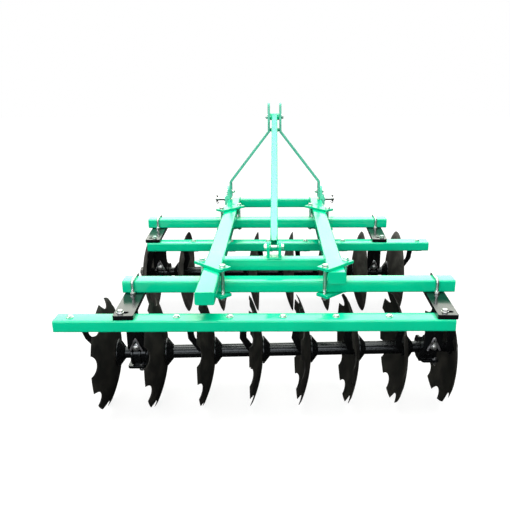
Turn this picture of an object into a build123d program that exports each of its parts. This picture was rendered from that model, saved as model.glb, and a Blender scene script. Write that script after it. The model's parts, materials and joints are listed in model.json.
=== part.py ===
"""Mounted tandem disc harrow with two gangs of eight discs on a tubular frame.

X runs across the machine, +Y is the direction of travel and Z is up. The
origin is on the ground, below the middle of the frame. Sizes are millimetres.
"""

from build123d import *
import math
import os

os.makedirs("parts", exist_ok=True)

# Gangs: discs on a square axle
disc_radius = 230
disc_thickness = 4
disc_pitch = 200.5
discs_per_gang = 8
bowl_depth = 55
seat_radius = 46
rim_land = 1.2
bevel_width = 14
gang_spacing = 1006
gang_offset = 3.5
rear_skew = 2.1
rear_setback = 7
axle_size = 28
axle_fit = 0.3
stud_radius = 12
stud_fit = 0.15
nut_across_flats = 46
nut_height = 16
nut_flange_radius = 35
nut_flange_height = 8
thread_end = 4

# Notches of the rear discs: angle of the first one on each disc
notch_count = 9
notch_radius = 44
notch_depth = 33
notch_angles = (27.5, 19.5, 18.5, 1, 34.5, 24.5, 33, 9)

# Spools between the discs
bell_radius = 58
bell_rim = 5
bell_length = 31
tube_radius = 26
collar_radius = 36
collar_width = 10
journal_radius = 24
flute_count = 8
flute_width = 7
flute_height = 2.5

# Bearings under the hangers
running_fit = 0.08
bearing_middle = 44
bearing_reach = 600
housing_width = 73
housing_radius = 50
waist_radius = 42
ring_width = 9
foot_drop = 62
foot_width = 72
foot_shift = 18
foot_depth = 62
foot_thickness = 12
pad_height = 62
pad_thickness = 12
rib_thickness = 8
rib_inset = 3

# Frame tubes
wall = 5
cap_thickness = 5
main_width = 72
main_height = 50
main_spacing = 494
main_top = 604
left_tail = 308
right_tail = 92
cross_size = 52
rear_cross_y = 100
front_cross_y = 1276
corner_radius = 8

# Gang beams and scraper bars
beam_width = 72
beam_height = 50
beam_length = 1330
rear_beam_shift = 60
front_beam_shift = -40
beam_setback = 20
scraper_bar_width = 76
scraper_bar_height = 46
scraper_bar_length = 1476
scraper_bar_shift = 70
scraper_bar_setback = 253

# Hangers
plate_width = 76
plate_thickness = 18
plate_overhang = 10
plate_lip = -6
plate_toe = 1.9
plate_spread = 5
slot_length = 40
slot_width = 18
slot_shift = 11
leg_setback = 95
leg_width = 72
leg_neck = 51
leg_neck_z = 405
leg_thickness = 14
leg_corner = 16
leg_bolt_rise = 58
leg_end = 18
arch_width = 52
arch_height = 62
arch_bar = 9
arch_depth = 10

# Bolts
u_bolt_radius = 6
u_bolt_side_gap = 7
u_bolt_fit = 0.3
hex_size = 22
hex_height = 10
clamp_bolt_radius = 7
clamp_nut_size = 22
clamp_nut_height = 13
clamp_head_height = 9
clamp_thread_end = 4
bolt_fit = 0.3

# Clamp plates at the crossings
clamp_length = 164
clamp_width = 58
clamp_thickness = 12
clamp_gap = 2

# Scrapers
scraper_pitch = 197
scraper_middle = -64
scraper_foot = 24
scraper_width = 27
scraper_lead = 4
scraper_thickness = 6
scraper_flange = 40
scraper_gap = 8.5
scraper_tip_y = 125
scraper_tip_z = 285
blade_width = 30

# Hitch: heights count from the top of the main tubes
lug_width = 60
lug_thickness = 14
lug_rise = 78
lug_x = 277
lug_foot_drop = 33
lug_flare = 16
hitch_pin_radius = 11
hitch_pin_reach = 66
mast_bar_width = 60
mast_bar_thickness = 13
mast_foot_rise = 11
mast_bolt_rise = 46
mast_knee_rise = 103

# Mast ears: drops count from the top of the mast
mast_top = 1165
ear_gap = 54
mast_neck_drop = 162
top_pin_drop = 24
top_pin_radius = 9.5
stay_pin_drop = 78
spacer_drop = 153
spacer_radius = 10

# Stay between the rear cross tube and the mast
stay_size = 32
stay_wall = 4
stay_cheek = 26
stay_head_radius = 19
stay_bracket_gap = 36
stay_bracket_thickness = 12
stay_bracket_depth = 46
stay_bolt_rise = 46

# Positions that follow from the sizes
tail_reach = left_tail
front_reach = front_cross_y + cross_size / 2
rear_axle_y = (tail_reach - front_reach) / 2
front_axle_y = rear_axle_y + gang_spacing
axle_z = disc_radius
main_bottom = main_top - main_height
beam_bottom = main_bottom - beam_height
plate_bottom = beam_bottom - plate_thickness
main_x = main_spacing / 2
u_bolt_reach = beam_width / 2 + u_bolt_side_gap + u_bolt_radius
front_end_y = rear_axle_y + front_reach
hitch_pin_z = main_top
mast_bolt_z = main_top + mast_bolt_rise
top_pin_z = mast_top - top_pin_drop
stay_pin_z = mast_top - stay_pin_drop
stay_bolt_z = main_top + stay_bolt_rise
sphere_shift = ((bowl_depth - disc_thickness) ** 2 + seat_radius ** 2 - disc_radius ** 2) / (
    2 * (bowl_depth - disc_thickness)
)
sphere_radius = math.hypot(sphere_shift, disc_radius)


def bowl_x(radius, ball=sphere_radius):
    """Distance of the bowl's face from the rim plane at a radius from the axle."""
    return sphere_shift + math.sqrt(ball**2 - radius**2)


def hub(index):
    """Convex seat face of a disc along its gang's own axis."""
    return disc_pitch * (index - (discs_per_gang - 1) / 2) - gang_offset + bowl_depth


def tube(plane, width, height, length):
    """Hollow section with welded end caps, from the plane's origin along its normal."""
    with BuildPart() as section:
        with BuildSketch(plane):
            RectangleRounded(width, height, corner_radius)
        extrude(amount=length)
        with BuildSketch(plane.offset(cap_thickness)):
            RectangleRounded(width - 2 * wall, height - 2 * wall, corner_radius - wall)
        extrude(amount=length - 2 * cap_thickness, mode=Mode.SUBTRACT)
    return section


def save(builder, label):
    """Label a finished piece and write it to its own file."""
    builder.part.label = label
    export_step(builder.part, f"parts/{label}.step")


# Main tubes and the two cross tubes between them
for side, label, tail in ((-1, "left", left_tail), (1, "right", right_tail)):
    start = rear_axle_y - tail
    main_tube = tube(
        Plane((side * main_x, start, main_top - main_height / 2), x_dir=(-1, 0, 0), z_dir=(0, 1, 0)),
        main_width,
        main_height,
        front_end_y - start,
    )
    save(main_tube, f"main_tube_{label}")

for label, y in (("rear", rear_cross_y), ("front", front_cross_y)):
    inner = main_spacing - main_width
    cross_tube = tube(
        Plane((-inner / 2, rear_axle_y + y, main_top - cross_size / 2), x_dir=(0, 1, 0), z_dir=(1, 0, 0)),
        cross_size,
        cross_size,
        inner,
    )
    save(cross_tube, f"{label}_cross_tube")

# Each gang turns about its axle. Its own axis runs along +X on the rear gang
# and along -X on the front one, so the two rows of bowls face opposite ways.
# The rear gang is set slightly askew under its beam.
gangs = (
    ("rear", rear_axle_y, 1, rear_beam_shift, -scraper_bar_shift, rear_skew, rear_setback),
    ("front", front_axle_y, -1, front_beam_shift, scraper_bar_shift, 0, 0),
)
clamps = []
for gang, gang_y, turn, beam_shift, bar_shift, skew, setback in gangs:
    centre = Vector(0, gang_y - setback, axle_z)
    run = Vector(turn, 0, 0).rotate(Axis.Z, skew)
    side_plane = Plane(centre, x_dir=run, z_dir=(run.Y, -run.X, 0))
    section = Plane(centre, x_dir=(-run.Y, run.X, 0), z_dir=run)
    axis = Axis(centre, run)
    first_face = hub(0) - disc_thickness
    last_face = hub(discs_per_gang - 1)
    bearing_spools = (0, discs_per_gang - 2)
    bearings = [bearing_middle + way * bearing_reach for way in (-1, 1)]

    # Square axle with a round threaded stud at each end
    with BuildPart() as axle:
        with BuildSketch(section.offset(first_face)):
            Rectangle(axle_size, axle_size)
        extrude(amount=last_face - first_face)
        with BuildSketch(section.offset(first_face)):
            Circle(stud_radius)
        extrude(amount=-(nut_flange_height + nut_height + thread_end))
        with BuildSketch(section.offset(last_face)):
            Circle(stud_radius)
        extrude(amount=nut_flange_height + nut_height + thread_end)
    save(axle, f"{gang}_axle")

    # Flanged nuts that clamp the stack
    with BuildPart() as axle_nuts:
        for face, way in ((first_face, -1), (last_face, 1)):
            with BuildSketch(section.offset(face)):
                Circle(nut_flange_radius)
                Circle(stud_radius + stud_fit, mode=Mode.SUBTRACT)
            extrude(amount=way * nut_flange_height)
            with BuildSketch(section.offset(face)):
                RegularPolygon(nut_across_flats / 2, 6, major_radius=False)
                Circle(stud_radius + stud_fit, mode=Mode.SUBTRACT)
            extrude(amount=way * (nut_flange_height + nut_height))
    save(axle_nuts, f"{gang}_axle_nuts")

    # Discs: a spherical shell with a flat seat and a bevelled edge
    for i in range(discs_per_gang):
        rim = hub(i) - bowl_depth
        mid = (disc_radius + seat_radius) / 2
        ball = sphere_radius + disc_thickness
        bevel = disc_radius - bevel_width
        with BuildPart() as disc:
            with BuildSketch(side_plane):
                with BuildLine():
                    l1 = Line((hub(i), 0), (hub(i) - disc_thickness, 0))
                    l2 = Line(l1 @ 1, (hub(i) - disc_thickness, seat_radius))
                    l3 = ThreePointArc(l2 @ 1, (rim + bowl_x(mid), mid), (rim, disc_radius))
                    l4 = Line(l3 @ 1, (rim + rim_land, disc_radius))
                    l5 = Line(l4 @ 1, (rim + bowl_x(bevel, ball), bevel))
                    l6 = ThreePointArc(l5 @ 1, (rim + bowl_x(mid, ball), mid), (hub(i), seat_radius))
                    l7 = Line(l6 @ 1, l1 @ 0)
                make_face()
            revolve(axis=axis)
            with BuildSketch(section.offset(hub(i))):
                Rectangle(axle_size + 2 * axle_fit, axle_size + 2 * axle_fit)
            extrude(amount=-disc_thickness, mode=Mode.SUBTRACT)
            if gang == "rear":
                with BuildSketch(section.offset(rim - 1)):
                    with PolarLocations(
                        disc_radius - notch_depth + notch_radius, notch_count, 180 + notch_angles[i]
                    ):
                        Circle(notch_radius)
                extrude(amount=bowl_depth, mode=Mode.SUBTRACT)
        save(disc, f"{gang}_disc_{i + 1}")

    # Spools: a bell against each disc's back, a tube and an end collar
    for label, radius, picks in (
        ("spools", tube_radius, [i for i in range(discs_per_gang - 1) if i not in bearing_spools]),
        ("bearing_spools", journal_radius, bearing_spools),
    ):
        with BuildPart() as spools:
            for i in picks:
                start = hub(i)
                end = hub(i + 1) - disc_thickness
                with BuildSketch(side_plane):
                    with BuildLine():
                        Polyline(
                            (start, 0),
                            (start, bell_radius),
                            (start + bell_rim, bell_radius),
                            (start + bell_length, radius),
                            (end - collar_width, radius),
                            (end - collar_width, collar_radius),
                            (end, collar_radius),
                            (end, 0),
                            close=True,
                        )
                    make_face()
                revolve(axis=axis)
                if radius == tube_radius:
                    with BuildSketch(section.offset(start + bell_rim)):
                        with PolarLocations(radius, flute_count):
                            Rectangle(2 * flute_height, flute_width)
                    extrude(amount=end - start - bell_rim - collar_width / 2)
                with BuildSketch(section.offset(start)):
                    Rectangle(axle_size + 2 * axle_fit, axle_size + 2 * axle_fit)
                extrude(amount=end - start, mode=Mode.SUBTRACT)
        save(spools, f"{gang}_{label}")

    # Gang beam under the main tubes
    beam_y = gang_y - beam_setback
    beam = tube(
        Plane(
            (beam_shift - beam_length / 2, beam_y, main_bottom - beam_height / 2),
            x_dir=(0, 1, 0),
            z_dir=(1, 0, 0),
        ),
        beam_width,
        beam_height,
        beam_length,
    )
    save(beam, f"{gang}_gang_beam")

    # Scraper bar under the tails of the hangers
    bar_y = gang_y - scraper_bar_setback
    bar = tube(
        Plane(
            (bar_shift - scraper_bar_length / 2, bar_y, plate_bottom - scraper_bar_height / 2),
            x_dir=(0, 1, 0),
            z_dir=(1, 0, 0),
        ),
        scraper_bar_width,
        scraper_bar_height,
        scraper_bar_length,
    )
    save(bar, f"{gang}_scraper_bar")

    spots = sorted(turn * t for t in bearings)
    for x, place in zip(spots, ("left", "right")):
        leg_y = gang_y - leg_setback
        leg_back = leg_y - leg_thickness / 2
        leg_bolt_z = axle_z + leg_bolt_rise
        leg_bottom = leg_bolt_z - leg_end

        # Hanger: flat plate under the beam, toed in a little, with a leg down to the bearing
        front = beam_y + u_bolt_reach + u_bolt_radius + plate_overhang
        back = bar_y - scraper_bar_width / 2 - plate_lip
        outer = math.copysign(1, x)
        bolt_x = x + outer * plate_spread
        with BuildPart() as hanger:
            with BuildSketch(Plane.XY.offset(plate_bottom)):
                with Locations(Location((x, (front + back) / 2), -outer * plate_toe)):
                    RectangleRounded(plate_width, front - back, 7)
                with Locations(*[(bolt_x, beam_y + s * u_bolt_reach) for s in (-1, 1)]):
                    Circle(u_bolt_radius + bolt_fit, mode=Mode.SUBTRACT)
                with Locations((x, bar_y)):
                    SlotOverall(slot_length, slot_width, mode=Mode.SUBTRACT)
            extrude(amount=plate_thickness)
            with BuildSketch(Plane.XZ.offset(-leg_back)) as leg_shape:
                outside = x + outer * leg_width / 2
                with BuildLine():
                    Polyline(
                        (outside, plate_bottom + 1),
                        (outside, leg_bottom),
                        (outside - outer * leg_width, leg_bottom),
                        (outside - outer * leg_width, leg_neck_z - leg_corner),
                        (outside - outer * leg_neck, leg_neck_z),
                        (outside - outer * leg_neck, plate_bottom + 1),
                        close=True,
                    )
                make_face()
                fillet(leg_shape.vertices().group_by(Axis.Y)[0], leg_corner)
            extrude(amount=-leg_thickness)
            with BuildSketch(Plane.XZ.offset(-leg_back)):
                with BuildLine():
                    Polyline(
                        (x - arch_width / 2, leg_bottom + 3),
                        (x, leg_bottom + arch_height),
                        (x + arch_width / 2, leg_bottom + 3),
                    )
                trace(line_width=arch_bar)
            extrude(amount=arch_depth)
        save(hanger, f"{gang}_{place}_hanger")

        # Bearing housing: ringed barrel, bolting foot below and pad behind
        pad_y = leg_y + leg_thickness / 2
        half = housing_width / 2
        hold = centre + run * (x / run.X)
        along = run * turn
        with BuildPart() as housing:
            with BuildSketch(Plane(hold, x_dir=along, z_dir=(along.Y, -along.X, 0))):
                with BuildLine():
                    Polyline(
                        (-half, 0),
                        (-half, housing_radius),
                        (-half + ring_width, housing_radius),
                        (-half + ring_width, waist_radius),
                        (-ring_width / 2, waist_radius),
                        (-ring_width / 2, housing_radius),
                        (ring_width / 2, housing_radius),
                        (ring_width / 2, waist_radius),
                        (half - ring_width, waist_radius),
                        (half - ring_width, housing_radius),
                        (half, housing_radius),
                        (half, 0),
                        close=True,
                    )
                make_face()
            revolve(axis=Axis(hold, along))
            with BuildSketch(Plane.XY.offset(axle_z - foot_drop)):
                with Locations((x + math.copysign(foot_shift, x), hold.Y)):
                    RectangleRounded(foot_width, foot_depth, 12)
            extrude(amount=foot_thickness)
            with BuildSketch(Plane.XY.offset(axle_z - foot_drop)):
                with Locations((x, hold.Y)):
                    Rectangle(housing_width - 16, foot_depth / 2)
            extrude(amount=foot_drop - journal_radius)
            with BuildSketch(Plane.XZ.offset(-pad_y)):
                with Locations((x, leg_bottom + pad_height / 2 - 2)):
                    Rectangle(leg_width, pad_height)
            extrude(amount=-pad_thickness)
            for rib_x in (x - half + rib_inset, x + half - rib_inset - rib_thickness):
                with BuildSketch(Plane.YZ.offset(rib_x)):
                    with BuildLine():
                        Polyline(
                            (pad_y + pad_thickness / 2, leg_bottom + 4),
                            (pad_y + pad_thickness / 2, leg_bottom + pad_height - 10),
                            (hold.Y, axle_z + housing_radius - 5),
                            (hold.Y - waist_radius + 6, axle_z),
                            close=True,
                        )
                    make_face()
                extrude(amount=rib_thickness)
            with BuildSketch(Plane(hold - along * (half + 1), z_dir=along)):
                Circle(journal_radius + running_fit)
            extrude(amount=housing_width + 2, mode=Mode.SUBTRACT)
        save(housing, f"{gang}_{place}_bearing")

    # U-bolts over the beam, nutted above and below each hanger plate
    with BuildPart() as u_bolts:
        for spot in spots:
            x = spot + math.copysign(plate_spread, spot)
            reach = u_bolt_reach
            low = plate_bottom - hex_height - 6
            high = main_bottom + u_bolt_fit + u_bolt_radius
            with BuildLine() as path:
                Polyline(
                    (x, beam_y - reach, low),
                    (x, beam_y - reach, high),
                    (x, beam_y + reach, high),
                    (x, beam_y + reach, low),
                )
                fillet(path.vertices().group_by(Axis.Z)[-1], 12)
            with BuildSketch(Plane((x, beam_y - reach, low), z_dir=(0, 0, 1))):
                Circle(u_bolt_radius)
            sweep()
            for level in (plate_bottom - hex_height, plate_bottom + plate_thickness):
                with BuildSketch(Plane.XY.offset(level)):
                    with Locations((x, beam_y - reach), (x, beam_y + reach)):
                        RegularPolygon(hex_size / 2, 6, major_radius=False)
                extrude(amount=hex_height)
    save(u_bolts, f"{gang}_u_bolts")

    # Scrapers: a flange under the bar and a sloping blade that follows the bowl
    bar_bottom = plate_bottom - scraper_bar_height
    root_y = bar_y + scraper_flange / 2
    slope = Vector(0, gang_y - scraper_tip_y - root_y, scraper_tip_z - bar_bottom)
    held = {i + 1: at - slot_shift for i, at in zip(bearing_spools, bearings)}
    with BuildPart() as scrapers:
        for i in range(discs_per_gang):
            rim = centre + run * (hub(i) - bowl_depth)
            row = scraper_middle + scraper_pitch * (i - (discs_per_gang - 1) / 2)
            heel = held.get(i, row) - scraper_foot - turn * rim.X
            edge = []
            for share in (0, 0.3, 0.45, 0.6, 0.8, 1):
                spot = Vector(0, root_y, bar_bottom) + slope * share
                aside = spot.Y - rim.Y
                radius = min(math.hypot(aside, spot.Z - axle_z) + scraper_gap, disc_radius)
                lean = aside * run.Y / run.X * turn
                edge.append((bowl_x(radius) - lean - scraper_gap, share * slope.length))
            toe = edge[0][0] + scraper_lead
            edge[0] = (toe, 0)
            with BuildSketch(Plane((rim.X, bar_y, bar_bottom), x_dir=(turn, 0, 0), z_dir=(0, 0, turn))):
                with Locations(((heel + toe) / 2, 0)):
                    Rectangle(toe - heel, scraper_flange)
            extrude(amount=-turn * scraper_thickness)
            blade = Plane(
                (rim.X, root_y, bar_bottom),
                x_dir=(turn, 0, 0),
                z_dir=Vector(turn, 0, 0).cross(slope.normalized()),
            )
            with BuildSketch(blade):
                with BuildLine():
                    Polyline(
                        *edge,
                        (edge[-1][0] - blade_width, edge[-1][1]),
                        (edge[2][0] - scraper_width, edge[2][1]),
                        (toe - scraper_width, 0),
                        close=True,
                    )
                make_face()
            extrude(amount=-turn * scraper_thickness)
    save(scrapers, f"{gang}_scrapers")

    for side in (-1, 1):
        clamps.append((side * main_x, beam_y, side * turn))

# Clamps: plates above the main tube and below the beam, two bolts at opposite corners
corner_x = main_width / 2 + clamp_gap + clamp_bolt_radius
corner_y = beam_width / 2 + clamp_gap + clamp_bolt_radius
top_face = main_top + clamp_thickness
low_face = beam_bottom - clamp_thickness
for label, level in (("top", main_top), ("bottom", low_face)):
    with BuildPart() as plates:
        for x, y, slant in clamps:
            angle = math.degrees(math.atan2(corner_y, corner_x * slant))
            with BuildSketch(Plane.XY.offset(level)):
                with Locations(Location((x, y), angle)):
                    RectangleRounded(clamp_length, clamp_width, 3)
                with Locations(*[(x + s * corner_x * slant, y + s * corner_y) for s in (-1, 1)]):
                    Circle(clamp_bolt_radius + bolt_fit, mode=Mode.SUBTRACT)
            extrude(amount=clamp_thickness)
    save(plates, f"clamp_{label}_plates")

with BuildPart() as clamp_bolts:
    for x, y, slant in clamps:
        ends = [(x + s * corner_x * slant, y + s * corner_y) for s in (-1, 1)]
        low_end = low_face - clamp_nut_height - clamp_thread_end
        for level, size, height in (
            (low_end, 0, top_face + clamp_head_height - low_end),
            (low_face - clamp_nut_height, clamp_nut_size, clamp_nut_height),
            (top_face, clamp_nut_size, clamp_head_height),
        ):
            with BuildSketch(Plane.XY.offset(level)):
                with Locations(*ends):
                    if size:
                        RegularPolygon(size / 2, 6, major_radius=False)
                    else:
                        Circle(clamp_bolt_radius)
            extrude(amount=height)
save(clamp_bolts, "clamp_bolts")

# Hitch lugs: plates standing on the front ends of the main tubes, flared down the outer
# sides, with the pins outside them and the mast's feet bolted inside them
lug_y = front_end_y - lug_width / 2
lug_in = lug_x - lug_thickness / 2
lug_out = lug_x + lug_thickness / 2
tube_side = main_x + main_width / 2
bar_x = lug_in - mast_bar_thickness / 2
for side, label in ((-1, "left"), (1, "right")):
    with BuildPart() as lug:
        with BuildSketch(Plane.XZ.offset(-(lug_y + lug_width / 2))):
            with BuildLine():
                Polyline(
                    (side * lug_in, main_top),
                    (side * lug_in, main_top + lug_rise),
                    (side * lug_out, main_top + lug_rise),
                    (side * lug_out, main_top + lug_rise / 3),
                    (side * (lug_out + lug_flare), main_top + lug_flare),
                    (side * (lug_out + lug_flare), main_top - lug_foot_drop),
                    (side * tube_side, main_top - lug_foot_drop),
                    (side * tube_side, main_top),
                    close=True,
                )
            make_face()
        extrude(amount=lug_width)
        fillet(lug.edges().filter_by(Axis.X).group_by(Axis.Z)[-1], 22)
        with BuildSketch(Plane.YZ):
            with Locations((lug_y, mast_bolt_z)):
                Circle(clamp_bolt_radius + bolt_fit)
        extrude(amount=side * 2 * lug_x, mode=Mode.SUBTRACT)
    save(lug, f"hitch_lug_{label}")

    # Hitch pin with a collar against the lug
    with BuildPart() as hitch_pin:
        with BuildSketch(Plane((side * (lug_out + lug_flare), lug_y, hitch_pin_z), z_dir=(side, 0, 0))):
            Circle(hitch_pin_radius)
        extrude(amount=hitch_pin_reach)
        chamfer(hitch_pin.edges().group_by(Axis.X)[-1 if side > 0 else 0], 2.5)
        with BuildSketch(Plane((side * (lug_out + lug_flare), lug_y, hitch_pin_z), z_dir=(side, 0, 0))):
            Circle(hitch_pin_radius + 5)
        extrude(amount=5)
    save(hitch_pin, f"hitch_pin_{label}")

    # Mast bar: upright foot, slanted run and an upright ear
    ear_x = ear_gap / 2 + mast_bar_thickness / 2
    with BuildPart() as mast_bar:
        with BuildSketch(Plane.XZ.offset(-(lug_y + mast_bar_width / 2))):
            with BuildLine() as spine:
                Polyline(
                    (side * bar_x, main_top + mast_foot_rise),
                    (side * bar_x, main_top + mast_knee_rise),
                    (side * ear_x, mast_top - mast_neck_drop),
                    (side * ear_x, mast_top),
                )
            trace(line_width=mast_bar_thickness)
        extrude(amount=mast_bar_width)
        fillet(mast_bar.edges().filter_by(Axis.X).group_by(Axis.Z)[-1], 20)
        with BuildSketch(Plane.YZ):
            with Locations((lug_y, mast_bolt_z), (lug_y, stay_pin_z)):
                Circle(clamp_bolt_radius + bolt_fit)
            with Locations((lug_y, top_pin_z)):
                Circle(top_pin_radius + stud_fit)
        extrude(amount=side * 2 * lug_x, mode=Mode.SUBTRACT)
    save(mast_bar, f"mast_bar_{label}")

# Spacer tube between the ears
with BuildPart() as spacer:
    with BuildSketch(Plane((0, lug_y, mast_top - spacer_drop), x_dir=(0, 1, 0), z_dir=(1, 0, 0))):
        Circle(spacer_radius)
    extrude(amount=ear_gap / 2, both=True)
save(spacer, "mast_spacer")

# Bracket on the rear cross tube: two ears on a base plate
bracket_y = rear_axle_y + rear_cross_y
with BuildPart() as bracket:
    with BuildSketch(Plane.XY.offset(main_top)):
        with Locations((0, bracket_y)):
            Rectangle(stay_bracket_gap + 2 * stay_bracket_thickness, stay_bracket_depth)
    extrude(amount=stay_bracket_thickness / 2)
    for side in (-1, 1):
        edge = side * (stay_bracket_gap + stay_bracket_thickness) / 2
        with BuildSketch(Plane.YZ.offset(edge)):
            with Locations((bracket_y, main_top + stay_bolt_rise / 2)):
                Rectangle(stay_bracket_depth, stay_bolt_rise)
            with Locations((bracket_y, stay_bolt_z)):
                Circle(stay_bracket_depth / 2)
        extrude(amount=stay_bracket_thickness / 2, both=True)
    with BuildSketch(Plane.YZ):
        with Locations((bracket_y, stay_bolt_z)):
            Circle(clamp_bolt_radius + bolt_fit)
    extrude(amount=2 * stay_bracket_gap, both=True, mode=Mode.SUBTRACT)
save(bracket, "stay_bracket")

# Stay: hollow square tube with two cheeks at its low end and a cross sleeve at its head
low_pin = Vector(0, bracket_y, stay_bolt_z)
high_pin = Vector(0, lug_y, stay_pin_z)
run = high_pin - low_pin
with BuildPart() as stay:
    with BuildSketch(Plane(low_pin, x_dir=(1, 0, 0), z_dir=run).offset(stay_cheek)):
        RectangleRounded(stay_size, stay_size, stay_wall)
        RectangleRounded(stay_size - 2 * stay_wall, stay_size - 2 * stay_wall, 2, mode=Mode.SUBTRACT)
    extrude(amount=run.length - stay_cheek)
    for side in (-1, 1):
        cheek = Plane(low_pin, x_dir=run, z_dir=(side, 0, 0)).offset(stay_size / 2 - stay_wall)
        with BuildSketch(cheek):
            Circle(stay_size / 2)
            with Locations((stay_cheek, 0)):
                Rectangle(2 * stay_cheek, stay_size - 2 * stay_wall)
        extrude(amount=stay_wall)
    with BuildSketch(Plane.YZ):
        with Locations((high_pin.Y, high_pin.Z)):
            Circle(stay_head_radius)
    extrude(amount=ear_gap / 2 - bolt_fit, both=True)
    with BuildSketch(Plane.YZ):
        with Locations((low_pin.Y, low_pin.Z), (high_pin.Y, high_pin.Z)):
            Circle(clamp_bolt_radius + bolt_fit)
    extrude(amount=ear_gap, both=True, mode=Mode.SUBTRACT)
save(stay, "mast_stay")

# Cross bolts of the stay and of the mast's feet: shank with a head and a nut
with BuildPart() as stay_bolts:
    for pin, half in (
        (low_pin, stay_bracket_gap / 2 + stay_bracket_thickness),
        (high_pin, ear_gap / 2 + mast_bar_thickness),
    ):
        with BuildSketch(Plane((0, pin.Y, pin.Z), x_dir=(0, 1, 0), z_dir=(1, 0, 0))):
            Circle(clamp_bolt_radius)
        extrude(amount=half + clamp_nut_height, both=True)
        for side in (-1, 1):
            with BuildSketch(Plane((side * half, pin.Y, pin.Z), x_dir=(0, 1, 0), z_dir=(side, 0, 0))):
                RegularPolygon(clamp_nut_size / 2, 6, major_radius=False)
            extrude(amount=clamp_nut_height)
save(stay_bolts, "stay_bolts")

with BuildPart() as foot_bolts:
    for side in (-1, 1):
        inner_face = bar_x - mast_bar_thickness / 2
        with BuildSketch(Plane((side * inner_face, lug_y, mast_bolt_z), z_dir=(side, 0, 0))):
            Circle(clamp_bolt_radius)
        extrude(amount=lug_out - inner_face)
        for face, way in ((inner_face, -side), (lug_out, side)):
            with BuildSketch(Plane((side * face, lug_y, mast_bolt_z), z_dir=(way, 0, 0))):
                RegularPolygon(clamp_nut_size / 2, 6, major_radius=False)
            extrude(amount=clamp_nut_height)
save(foot_bolts, "mast_foot_bolts")
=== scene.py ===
"""Dresses the tandem disc harrow: paint, castings, plated fasteners, welds and studio.

Everything is in metres in the machine's own frame: X across, +Y the direction of travel, Z up.
"""

import json
import logging
import math
from collections.abc import Callable
from dataclasses import dataclass, field, replace
from enum import Enum

import bmesh
import bpy
import numpy as np
from mathutils import Matrix, Vector


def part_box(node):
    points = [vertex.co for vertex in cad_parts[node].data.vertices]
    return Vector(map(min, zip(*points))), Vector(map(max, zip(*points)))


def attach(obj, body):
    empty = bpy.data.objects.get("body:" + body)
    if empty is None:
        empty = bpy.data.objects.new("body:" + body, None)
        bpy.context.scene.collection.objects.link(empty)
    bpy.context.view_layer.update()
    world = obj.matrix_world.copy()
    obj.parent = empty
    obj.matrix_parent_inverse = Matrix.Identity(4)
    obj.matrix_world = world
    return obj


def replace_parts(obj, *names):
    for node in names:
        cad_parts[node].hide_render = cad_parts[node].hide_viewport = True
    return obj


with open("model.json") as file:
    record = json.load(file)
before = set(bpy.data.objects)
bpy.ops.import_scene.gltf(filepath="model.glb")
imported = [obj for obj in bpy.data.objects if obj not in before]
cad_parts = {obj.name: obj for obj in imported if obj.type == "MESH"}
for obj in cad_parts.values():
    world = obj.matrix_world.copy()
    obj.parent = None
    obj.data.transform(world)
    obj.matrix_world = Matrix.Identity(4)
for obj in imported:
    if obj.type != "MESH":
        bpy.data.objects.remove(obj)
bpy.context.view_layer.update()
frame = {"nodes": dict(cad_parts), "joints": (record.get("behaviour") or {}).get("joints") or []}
log = logging.getLogger("harrow")

Colour = tuple[float, float, float, float]
Number = float | bpy.types.NodeSocket
CREASE = 32.0


# ---------------------------------------------------------------- surfaces


@dataclass
class Shell:
    """Points and four-sided faces of one surface."""

    points: np.ndarray
    quads: np.ndarray

    def placed(self, matrix: Matrix) -> "Shell":
        """Returns a copy moved by a matrix: each point times the matrix, all at once."""
        m = np.array(matrix)
        return Shell(self.points @ m[:3, :3].T + m[:3, 3], self.quads)


def grid(points: np.ndarray) -> Shell:
    """Joins a row of rings into faces.

    Formula: point j of ring i makes one face with point j of ring i+1 and with the next points
    of both, where the point after a ring's last one is its first.

    Args:
        points: array of shape (rings, points in a ring, 3).

    Returns:
        The surface.
    """
    rings, count = points.shape[:2]
    i, j = np.meshgrid(np.arange(rings - 1), np.arange(count), indexing="ij")
    here, there, after = i * count, (i + 1) * count, (j + 1) % count
    quads = np.stack([here + j, there + j, there + after, here + after], -1).reshape(-1, 4)
    return Shell(points.reshape(-1, 3), quads)


def turned(profile: list[tuple[float, float]], flats: float = 0.0, count: int = 36) -> Shell:
    """Turns a profile about +Z.

    Formula: ring k has radius r_k and height z_k from the profile; with flats, the radius at an
    angle is no more than half of flats over the cosine of the angle to the nearest flat's middle.

    Args:
        profile: (radius, height) pairs; a radius of 0 at both ends closes the shape.
        flats: distance across the flats of a hexagon, or 0 for a round shape.
        count: points round a ring.

    Returns:
        The surface.
    """
    rings = np.array(profile, float)
    angle = np.linspace(0, 2 * math.pi, count, endpoint=False)
    radius = np.repeat(rings[:, :1], count, 1)
    if flats:
        turn = (angle + math.pi / 6) % (math.pi / 3) - math.pi / 6
        radius = np.minimum(radius, flats / 2 / np.cos(turn))
    height = np.repeat(rings[:, 1:], count, 1)
    return grid(np.stack([radius * np.cos(angle), radius * np.sin(angle), height], -1))


def rim(radius: float, height: float, ease: float) -> list[tuple[float, float]]:
    """Profile of a round edge from height 0 up, with both corners cut by ease."""
    inner = radius - ease
    return [(inner, 0.0), (radius, ease), (radius, height - ease), (inner, height)]


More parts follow.
